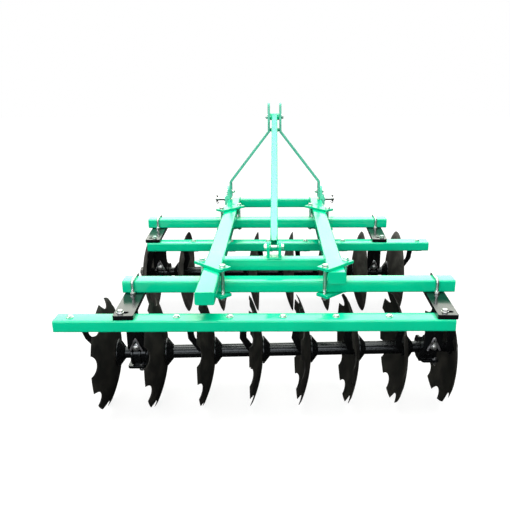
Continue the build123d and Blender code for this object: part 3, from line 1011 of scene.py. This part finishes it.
@dataclass
class BearingBolts:
    """Large bolt in a leg's arch, the bearing's foot bolts and its grease nipple."""

    back: float = 0.082
    rise: float = 0.020
    length: float = 0.021
    foot_drop: float = 0.062
    foot_shift: float = 0.018
    foot_half: float = 0.020
    foot_cross: float = 0.019
    foot_plate: float = 0.012
    foot_head: float = 0.007
    foot_nut: float = 0.010
    foot_length: float = 0.014
    nipple_back: float = 0.010
    nipple_rise: float = 0.0485
    big: Fastener = field(default_factory=lambda: M16)
    small: Fastener = field(default_factory=lambda: M12)

    def shells(self, x: float, beam_y: float, leg_low: float, axle: Vector) -> list[Shell]:
        """Builds all of one bearing's bolts.

        Args:
            x: the bearing's place across the machine.
            beam_y: the gang beam's middle along the machine.
            leg_low: height of the leg's lowest point.
            axle: the turning axis at the bearing.

        Returns:
            Their surfaces.
        """
        back = Vector((x, beam_y - self.back, leg_low + self.rise))
        big, small = self.big, self.small
        found = [
            big.flat_washer(1.35).placed(facing(back, BACKWARD)),
            big.hexagon(big.nut, True).placed(facing(back + BACKWARD * big.washer, BACKWARD, 14)),
            big.stud(self.length).placed(facing(back, BACKWARD)),
        ]
        sign = math.copysign(1, x)
        for s in (-1, 1):
            across = x + sign * self.foot_shift + s * self.foot_half
            at = Vector((across, axle.y - self.foot_cross * s, axle.z - self.foot_drop))
            found += [
                small.hexagon(self.foot_nut, True).placed(facing(at, DOWN, 20 * s)),
                small.stud(self.foot_length).placed(facing(at, DOWN)),
                small.hexagon(self.foot_head).placed(facing(at + UP * self.foot_plate, UP, 8)),
            ]
        found.append(self.nipple(Vector((x, axle.y - self.nipple_back, axle.z + self.nipple_rise))))
        return found

    @staticmethod
    def nipple(at: Vector) -> Shell:
        """Grease nipple: a collar, a neck of half its radius and a pointed head."""
        collar = [(0.005, 0), (0.005, 0.004)]
        neck = [(0.0025, 0.006), (0.0025, 0.009)]
        head = [(0.0035, 0.011), (0, 0.014)]
        return turned([(0, 0), *collar, *neck, *head], count=18).placed(facing(at, UP))


@dataclass
class Hangers:
    """Slotted plates and legs that carry one gang, with their U-bolts and bearings."""

    gang: Gang
    spread: float = 0.005
    plate_ease: float = 0.0014
    casting_ease: float = 0.0016
    rib_back: float = 0.0915
    rib_foot: float = 0.005
    rib_crown: float = 0.061
    rib_half: float = 0.025
    rib_bend: float = 0.005
    rib_radius: float = 0.0047
    u_bolt: UBolt = field(default_factory=UBolt)
    bearing_bolts: BearingBolts = field(default_factory=BearingBolts)

    def build(self) -> None:
        """Builds both hangers of the gang."""
        rods, nuts, bolts, ribs = [], [], [], []
        label = self.gang.label
        beam_low, beam_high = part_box(f"{label}_gang_beam")
        beam_y = middle(f"{label}_gang_beam").y
        for place in ("left", "right"):
            hanger = f"{label}_{place}_hanger"
            eased_copy(hanger, BLACK, "frame", self.plate_ease)
            eased_copy(f"{label}_{place}_bearing", CASTING, "frame", self.casting_ease)
            low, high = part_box(hanger)
            x = middle(hanger).x
            spot = x + math.copysign(self.spread, x)
            rods.append(self.u_bolt.bent_rod(spot, beam_low, beam_high, high.z))
            nuts += self.u_bolt.nuts(spot, beam_low, beam_high, high.z)
            bolts += self.bearing_bolts.shells(x, beam_y, low.z, self.gang.axle_at(x))
            ribs.append(self.arch_rib(x, beam_y, low.z))
        piece = make_piece(f"{label}_u_bolt_rods", rods + nuts, ZINC, "frame")
        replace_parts(piece, f"{label}_u_bolts")
        make_piece(f"{label}_bearing_bolts", bolts, ZINC, "frame")
        # Painted highlight: the ribs' light steel stands for the glint on the arch, brighter on the
        # front gang.
        glint_finish = DIM_GLINT_STEEL if self.gang is Gang.REAR else BRIGHT_GLINT_STEEL
        make_piece(f"{label}_arch_ribs", ribs, glint_finish, "frame")

    def arch_rib(self, x: float, beam_y: float, leg_low: float) -> Shell:
        """Round nose on the leg's pointed arch, in light steel whose colour is a painted glint along
        the arch.

        Args:
            x: the leg's place across the machine.
            beam_y: the gang beam's middle along the machine.
            leg_low: height of the leg's lowest point.

        Returns:
            The surface.
        """
        y, foot, crown = beam_y - self.rib_back, leg_low + self.rib_foot, leg_low + self.rib_crown
        ends = ((x - self.rib_half, foot), (x, crown), (x + self.rib_half, foot))
        path = rounded_path([Vector((px, y, z)) for px, z in ends], self.rib_bend, 0.002)
        return along(path, self.rib_radius, FORWARD, 12)


@dataclass
class Scrapers:
    """Scraper blades of one gang and the bolts through their bar."""

    gang: Gang
    count: int = 8
    first: float = -0.7535
    spacing: float = 0.197
    ease: float = 0.001
    slot_shift: float = 0.011
    slot_reach: float = 0.03
    low_head: float = 0.0055
    nut_height: float = 0.004
    flange: float = 0.006
    drawn_depth: float = 0.010
    drawn_zone: float = 0.04
    drawn_short: float = 0.004
    bolt: Fastener = field(default_factory=lambda: M12)

    def build(self) -> None:
        """Eases the blades and sets a bolt on the bar above each flange."""
        label, turn = self.gang.label, self.gang.turn
        low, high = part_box(f"{label}_scraper_bar")
        blades = eased_copy(f"{label}_scrapers", BLACK, "frame", self.ease)
        self.draw_in(blades.data, low, high)
        y = (low.y + high.y) / 2
        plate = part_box(f"{label}_left_hanger")[1].z
        hangers = [middle(f"{label}_{place}_hanger").x for place in ("left", "right")]
        slots = [x - self.slot_shift * turn for x in hangers]
        found, bolt = [], self.bolt
        for i in range(self.count):
            x, level, head = (self.first + self.spacing * i) * turn, high.z, self.low_head
            near = min(slots, key=lambda s: abs(s - x))
            if abs(near - x) < self.slot_reach:
                x, level, head = near, plate, bolt.head
            at, below = Vector((x, y, level)), Vector((x, y, low.z - self.flange))
            found += [
                bolt.flat_washer(1.4).placed(facing(at, UP)),
                bolt.hexagon(head).placed(facing(at + UP * bolt.washer, UP, 37 * i)),
                bolt.hexagon(self.nut_height).placed(facing(below, DOWN, 23 * i)),
            ]
        plated = ZINC if self.gang is Gang.REAR else GREEN_TINT_ZINC
        make_piece(f"{label}_scraper_bolts", found, plated, "frame")

    def draw_in(self, mesh: bpy.types.Mesh, low: Vector, high: Vector) -> None:
        """Draws a flange that passes the bar's end in under it.

        Formula: from the drawn depth below the bar upwards, x past the line one zone inside the
        end is scaled about that line, so that the outermost point stops short of the end.

        Args:
            mesh: the blades' mesh.
            low: lowest corner of the bar.
            high: highest corner of the bar.
        """
        points = np.empty(len(mesh.vertices) * 3)
        mesh.vertices.foreach_get("co", points)
        points = points.reshape(-1, 3)
        room = self.drawn_zone - self.drawn_short
        for sign, end in ((-1, low.x), (1, high.x)):
            past = sign * points[:, 0] - (sign * end - self.drawn_zone)
            held = (past > 0) & (points[:, 2] > low.z - self.drawn_depth)
            if held.any() and past[held].max() > room:
                points[held, 0] -= sign * past[held] * (1 - room / past[held].max())
        mesh.vertices.foreach_set("co", points.ravel())
        mesh.update()


@dataclass
class DiscStack:
    """Blades, spools and axle of one gang."""

    gang: Gang
    blades: int = 8
    casting_ease: float = 0.0014
    seat: float = 0.024
    collar_radius: float = 0.035
    collar: float = 0.008
    collar_ease: float = 0.0015
    stud: float = 0.0275
    nut: Fastener = field(default_factory=lambda: AXLE_NUT)

    def build(self) -> None:
        """Gives each turning solid its finish and details the nuts."""
        label, body = self.gang.label, self.gang.body
        blade = self.blade_steel()
        for i in range(1, self.blades + 1):
            eased_copy(f"{label}_disc_{i}", blade, body, 0.0)
        for node in ("spools", "bearing_spools"):
            eased_copy(f"{label}_{node}", CASTING, body, self.casting_ease)
        eased_copy(f"{label}_axle", DARK_STEEL, body, 0.0)
        self.nuts()

    def blade_steel(self) -> BladeSteel:
        """Finish whose rings run about this gang's axis; the front gang's is lighter, as painted
        light for its brightly lit blade faces.

        Returns:
            The finish.
        """
        point, way = self.gang.axle()
        steel = BladeSteel(f"{self.gang.label}_blade_steel", "disc", point.y, way.y / way.x)
        if self.gang is Gang.REAR:
            return steel
        # Painted light: the front blades' paint and patches are lighter than the rear ones to stand
        # for how brightly their faces are lit.
        return replace(steel, colour=(0.050, 0.047, 0.043, 1), dusty=(0.17, 0.16, 0.145, 1))

    def nuts(self) -> None:
        """Flanged nuts with chamfered corners, and the stud's thread."""
        node = f"{self.gang.label}_axle_nuts"
        point, axis = self.gang.axle()
        low, high = reach(node, point, axis)
        edge = rim(self.collar_radius, self.collar, self.collar_ease)
        collar = turned([(0, 0), *edge, (0, self.collar)], count=40)
        nut, found = self.nut, []
        for end, inwards in ((low, axis), (high, -axis)):
            face = point + axis * end + inwards * self.seat
            found += [
                collar.placed(facing(face, -inwards)),
                nut.hexagon(nut.nut, True).placed(facing(face - inwards * self.collar, -inwards, 12)),
                nut.stud(self.stud, 24).placed(facing(face, -inwards)),
            ]
        piece = make_piece(f"{self.gang.label}_stack_nuts", found, DARK_STEEL, self.gang.body)
        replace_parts(piece, node)


@dataclass
class FrameWork:
    """Tubes of the frame with their welds."""

    ease: float = 0.0015
    bead: float = 0.0035
    ripple: float = 0.12
    ripple_step: float = 0.0011
    ripple_length: float = 0.003
    stop: float = 0.55
    corner: float = 0.004
    lift: float = 0.006

    def build(self) -> None:
        """Eases the tubes' ends and lays the weld beads."""
        for node in frame["nodes"]:
            if node.endswith(("_tube", "_beam", "_bar")) or node.startswith("main_tube"):
                eased_copy(node, GREEN, "frame", self.ease)
        beads = []
        for node in ("rear_cross_tube", "front_cross_tube"):
            low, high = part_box(node)
            foot = low.z + self.lift
            corners = ((low.y, foot), (low.y, high.z), (high.y, high.z), (high.y, foot))
            for x in (low.x, high.x):
                beads.append(self.run([Vector((x, y, z)) for y, z in corners], ACROSS))
        for side in ("left", "right"):
            low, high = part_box(f"hitch_lug_{side}")
            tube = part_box(f"main_tube_{side}")[1].z
            inner = low.x if side == "right" else high.x
            beads.append(self.run([Vector((inner, y, tube)) for y in (low.y, high.y)], UP))
        low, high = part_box("stay_bracket")
        around = ((low.x, low.y), (high.x, low.y), (high.x, high.y), (low.x, high.y), (low.x, low.y))
        beads.append(self.run([Vector((x, y, low.z)) for x, y in around], UP))
        make_piece("frame_welds", beads, GREEN, "frame", 60)

    def run(self, corners: list[Vector], side: Vector) -> Shell:
        """Weld bead with overlapping ripples.

        Formula: radius = bead size times (1 + ripple times the cosine of a full turn for each
        ripple length along the run), and smaller at both stops.

        Args:
            corners: the corner points of the run.
            side: unit vector across the run's plane.

        Returns:
            The surface.
        """
        path = rounded_path(corners, self.corner, self.ripple_step)
        turns = np.arange(len(path)) * self.ripple_step / self.ripple_length
        size = 1 + self.ripple * np.cos(turns * 2 * math.pi)
        size[[0, -1]] = self.stop
        return along(path, self.bead * size, side, 8)


@dataclass
class LinchPin:
    """Short pin with a spring ring, which locks a hitch pin."""

    radius: float = 0.004
    head: float = 0.005
    taper: float = 0.034
    length: float = 0.038
    ring_half: float = 0.011
    ring_reach: float = 0.015
    ring_shift: float = 0.004
    wire: float = 0.0019

    def shells(self, at: Vector, drop: Vector, ring_way: Vector) -> list[Shell]:
        """Pin through a hole, with its ring swung over the hitch pin's end.

        Formula: the pin is a turned rod; the ring is an ellipse of wire, from 20 to 340 degrees,
        in the plane of drop and of 0.6 of ring_way with 0.8 of the direction of travel.

        Args:
            at: middle of the hole.
            drop: way that the pin points.
            ring_way: way that the ring is swung.

        Returns:
            The pin and its ring.
        """
        wide, narrow = self.radius * 1.5, self.radius * 0.6
        head = [(wide, 0), (wide, self.head), (self.radius, self.head + 0.001)]
        point = [(self.radius, self.taper), (narrow, self.length)]
        pin = turned([(0, 0), *head, *point, (0, self.length)], count=18)
        swing = (ring_way * 0.6 + FORWARD * 0.8).normalized()
        centre = at + swing * self.ring_shift + drop * self.ring_reach
        ring = arc(centre, swing * self.ring_half, -drop * self.ring_reach, 20, 340, 40)
        side = Vector(drop).cross(swing).normalized()
        standing = pin.placed(facing(at - drop * self.length / 2, drop))
        return [standing, along(ring, self.wire, side, 8)]


@dataclass
class Hitch:
    """Mast, lugs, pins and stay."""

    ease: float = 0.0014
    pin: float = 0.011
    pin_collar: float = 0.005
    collar_ease: float = 0.0005
    pin_tip: float = 0.0025
    pin_room: float = 0.008
    linch_inset: float = 0.010
    foot_inner: float = 0.257
    foot_stud: float = 0.030
    foot_grip: float = 0.012
    bracket_drop: float = 0.023
    bracket_half: float = 0.030
    mast_drop: float = 0.078
    mast_half: float = 0.040
    nut_cut: float = 0.002
    bolt: Fastener = field(default_factory=lambda: M14)
    linch_pin: LinchPin = field(default_factory=LinchPin)

    def build(self) -> None:
        """Builds the hitch's plates, pins and bolts."""
        # The mast bars and lugs take paler greens that hold painted glare.
        for paint, nodes in (
            (MAST_GLARE_GREEN, ("mast_bar_left", "mast_bar_right")),
            (LUG_GLARE_GREEN, ("hitch_lug_left", "hitch_lug_right")),
            (GREEN, ("stay_bracket", "mast_stay", "mast_spacer")),
        ):
            for node in nodes:
                eased_copy(node, paint, "frame", self.ease)
        for side, sign in (("left", -1), ("right", 1)):
            self.hitch_pin(side, sign)
        self.foot_bolts()
        self.stay_bolts()

    def hitch_pin(self, side: str, sign: int) -> None:
        """Lower hitch pin: collar, shank with a chamfered tip, and a linch pin.

        Args:
            side: left or right.
            sign: -1 on the left and +1 on the right.
        """
        low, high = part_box(f"hitch_pin_{side}")
        centre = (low + high) / 2
        length = high.x - low.x - self.pin_room
        start = Vector((low.x if sign > 0 else high.x, centre.y, centre.z))
        r, out = self.pin, ACROSS * sign
        collar = rim(r + self.pin_collar, self.pin_collar, self.collar_ease)
        tip = [(r, length - self.pin_tip), (r - self.pin_tip, length)]
        shank = turned([(0, 0), *collar, (r, self.pin_collar), *tip, (0, length)], count=32)
        placed = shank.placed(facing(start, out))
        piece = make_piece(f"hitch_pin_{side}_shape", [placed], ZINC, "frame")
        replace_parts(piece, f"hitch_pin_{side}")
        linch = self.linch_pin.shells(start + out * (length - self.linch_inset), DOWN, -out)
        make_piece(f"linch_pin_{side}", linch, DARK_STEEL, "frame")

    def foot_bolts(self) -> None:
        """Bolts that hold the mast's feet to the lugs."""
        low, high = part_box("mast_foot_bolts")
        centre, found, bolt = (low + high) / 2, [], self.bolt
        for sign in (-1, 1):
            out = ACROSS * sign
            outer = Vector((sign * (high.x - bolt.nut), centre.y, centre.z))
            inner = Vector((sign * self.foot_inner, centre.y, centre.z))
            found += [
                bolt.hexagon(bolt.head).placed(facing(outer, out, 10)),
                bolt.hexagon(bolt.nut, True).placed(facing(inner, -out, 25)),
                bolt.stud(self.foot_stud).placed(facing(inner + out * self.foot_grip, -out)),
            ]
        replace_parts(make_piece("mast_foot_bolt_set", found, ZINC, "frame"), "mast_foot_bolts")

    def stay_bolts(self) -> None:
        """Cross bolts at the bracket and at the mast."""
        low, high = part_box("stay_bracket")
        near = Vector((0, (low.y + high.y) / 2, high.z - self.bracket_drop))
        mast_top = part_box("mast_bar_left")[1].z
        far = Vector((0, middle("mast_spacer").y, mast_top - self.mast_drop))
        found, bolt = [], self.bolt
        for pin, half in ((near, self.bracket_half), (far, self.mast_half)):
            left, right = pin - ACROSS * half, pin + ACROSS * half
            found += [
                bolt.shank(2 * half).placed(facing(left, ACROSS)),
                bolt.flat_washer(1.25).placed(facing(right, ACROSS)),
                bolt.hexagon(bolt.head).placed(facing(right + ACROSS * bolt.washer, ACROSS, 8)),
                bolt.hexagon(bolt.nut - self.nut_cut, True).placed(facing(left, -ACROSS, 21)),
                bolt.stud(bolt.nut).placed(facing(left, -ACROSS)),
            ]
        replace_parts(make_piece("stay_bolt_set", found, ZINC, "frame"), "stay_bolts")


@dataclass(frozen=True)
class Panel:
    """Rectangular soft lamp: its place, what it faces, its sides, power and colour."""

    name: str
    place: tuple[float, float, float]
    aim: tuple[float, float, float]
    sides: tuple[float, float]
    power: float
    colour: tuple[float, float, float] = (1, 1, 1)
    gloss_only: bool = False

    def light(self) -> None:
        """Stands the lamp in the studio."""
        data = bpy.data.lights.new(self.name, "AREA")
        data.shape = "RECTANGLE"
        data.size, data.size_y = self.sides
        data.color = self.colour
        data.energy = self.power
        lamp = bpy.data.objects.new(self.name, data)
        lamp.visible_diffuse = not self.gloss_only
        at = Vector(self.place)
        lamp.matrix_world = facing(at, at - Vector(self.aim))
        bpy.context.scene.collection.objects.link(lamp)


PALE_STRAW = (0.92, 0.95, 0.84)
PANELS = (
    Panel("overhead", (0.2, 0.3, 4.2), (0.2, 0.3, 0), (5.5, 6.0), 365, (1, 1, 0.93)),
    Panel("front_fill", (-0.8, -5.0, 2.0), (0, 0, 0.4), (5.0, 2.6), 136),
    Panel("side_gloss", (-3.6, -1.9, 2.3), (0, 0, 0.4), (0.9, 1.4), 60, gloss_only=True),
    Panel("far_gloss_high", (0, 5.2, 3.4), (0, 0, 0.6), (7.5, 2.2), 178, PALE_STRAW, True),
    Panel("far_gloss_low", (0, 5.2, 1.75), (0, 0, 0.6), (7.5, 1.2), 78, PALE_STRAW, True),
    Panel("stay_gloss", (0, 2.3, 4.1), (0, 0.2, 0.85), (2.5, 1.6), 58, (1, 0.98, 0.88), True),
)


@dataclass
class Studio:
    """Camera, lamps, world and floor."""

    sky: float = 0.38
    gleam: float = 0.1
    ground: float = 0.22
    dark_ground: float = 0.02
    glow: float = 0.85
    far_glow: float = 1.0
    near: float = 1.4
    far: float = 4.5
    floor_half: float = 14.0
    sensor: float = 36.0
    lens: float = 42.42353
    shift: tuple[float, float] = (-0.0478431, 0.0117451)
    place: tuple[float, float, float] = (0.01355, -2.80152, 1.37127)
    yaw: float = 0.0037
    pitch: float = 0.3151
    roll: float = -0.0015

    def build(self) -> None:
        """Sets up the whole studio."""
        self.camera()
        self.world()
        self.floor()
        for panel in PANELS:
            panel.light()
        bpy.context.scene.view_settings.view_transform = "Standard"

    def camera(self) -> None:
        """Camera behind and above the machine."""
        data = bpy.data.cameras.new("camera")
        data.sensor_width = self.sensor
        data.lens = self.lens
        data.shift_x, data.shift_y = self.shift
        data.clip_end = 60
        camera = bpy.data.objects.new("camera", data)
        flat = Vector((math.sin(self.yaw), math.cos(self.yaw), 0))
        right = Vector((math.cos(self.yaw), -math.sin(self.yaw), 0))
        ahead = flat * math.cos(self.pitch) + DOWN * math.sin(self.pitch)
        above = right.cross(ahead)
        u = right * math.cos(self.roll) + above * math.sin(self.roll)
        v = above * math.cos(self.roll) - right * math.sin(self.roll)
        turn = Matrix((u, v, -ahead)).transposed().to_4x4()
        camera.matrix_world = Matrix.Translation(self.place) @ turn
        bpy.context.scene.collection.objects.link(camera)
        bpy.context.scene.camera = camera

    def world(self) -> None:
        """White backdrop for the camera, softer light for matt surfaces and a dim one for gloss."""
        world = bpy.data.worlds.new("studio_world")
        world.use_nodes = True
        world.node_tree.nodes.clear()
        graph = Graph(world.node_tree)
        path = graph.add("LightPath").outputs
        power = graph.span(path["Is Glossy Ray"], 0, 1, self.sky, self.gleam)
        soft = graph.add("Background", Color=(0.95, 0.98, 1, 1), Strength=power)
        white = graph.add("Background", Color=(1, 1, 1, 1), Strength=1.0)
        seen = path["Is Camera Ray"]
        mixed = graph.add("MixShader", i0=seen, i1=soft.outputs[0], i2=white.outputs[0])
        graph.add("OutputWorld", Surface=mixed.outputs[0])
        bpy.context.scene.world = world

    def floor(self) -> None:
        """White floor that keeps the machine's shadow near it and fades to plain white far off."""
        mesh = bpy.data.meshes.new("studio_floor")
        s = self.floor_half
        mesh.from_pydata([(-s, -s, 0), (s, -s, 0), (s, s, 0), (-s, s, 0)], [], [(0, 1, 2, 3)])
        floor = bpy.data.objects.new("studio_floor", mesh)
        bpy.context.scene.collection.objects.link(floor)
        made = bpy.data.materials.new("studio_floor")
        made.use_nodes = True
        made.node_tree.nodes.clear()
        graph = Graph(made.node_tree)
        path = graph.add("LightPath").outputs
        shade = graph.span(path["Is Glossy Ray"], 0, 1, self.ground, self.dark_ground)
        grey = graph.add("CombineXYZ", X=shade, Y=shade, Z=shade).outputs[0]
        plain = graph.add("BsdfDiffuse", Color=grey)
        place = graph.add("TexCoord").outputs["Object"]
        away = graph.add("VectorMath", {"operation": "LENGTH"}, i0=place).outputs["Value"]
        fade = graph.span(away, self.near, self.far, self.glow, self.far_glow)
        seen = graph.maths("MULTIPLY", path["Is Camera Ray"], fade)
        glow = graph.add("Emission", Color=(1, 1, 1, 1), Strength=seen)
        both = graph.add("AddShader", i0=plain.outputs[0], i1=glow.outputs[0])
        graph.add("OutputMaterial", Surface=both.outputs[0])
        mesh.materials.append(made)


def main() -> None:
    """Builds every sub-assembly in order."""
    logging.basicConfig(level=logging.INFO, format="%(message)s")
    FrameWork().build()
    Crossings().build()
    for gang in Gang:
        Hangers(gang).build()
        Scrapers(gang).build()
        DiscStack(gang).build()
    Hitch().build()
    Studio().build()


if __name__ == "__main__":
    main()
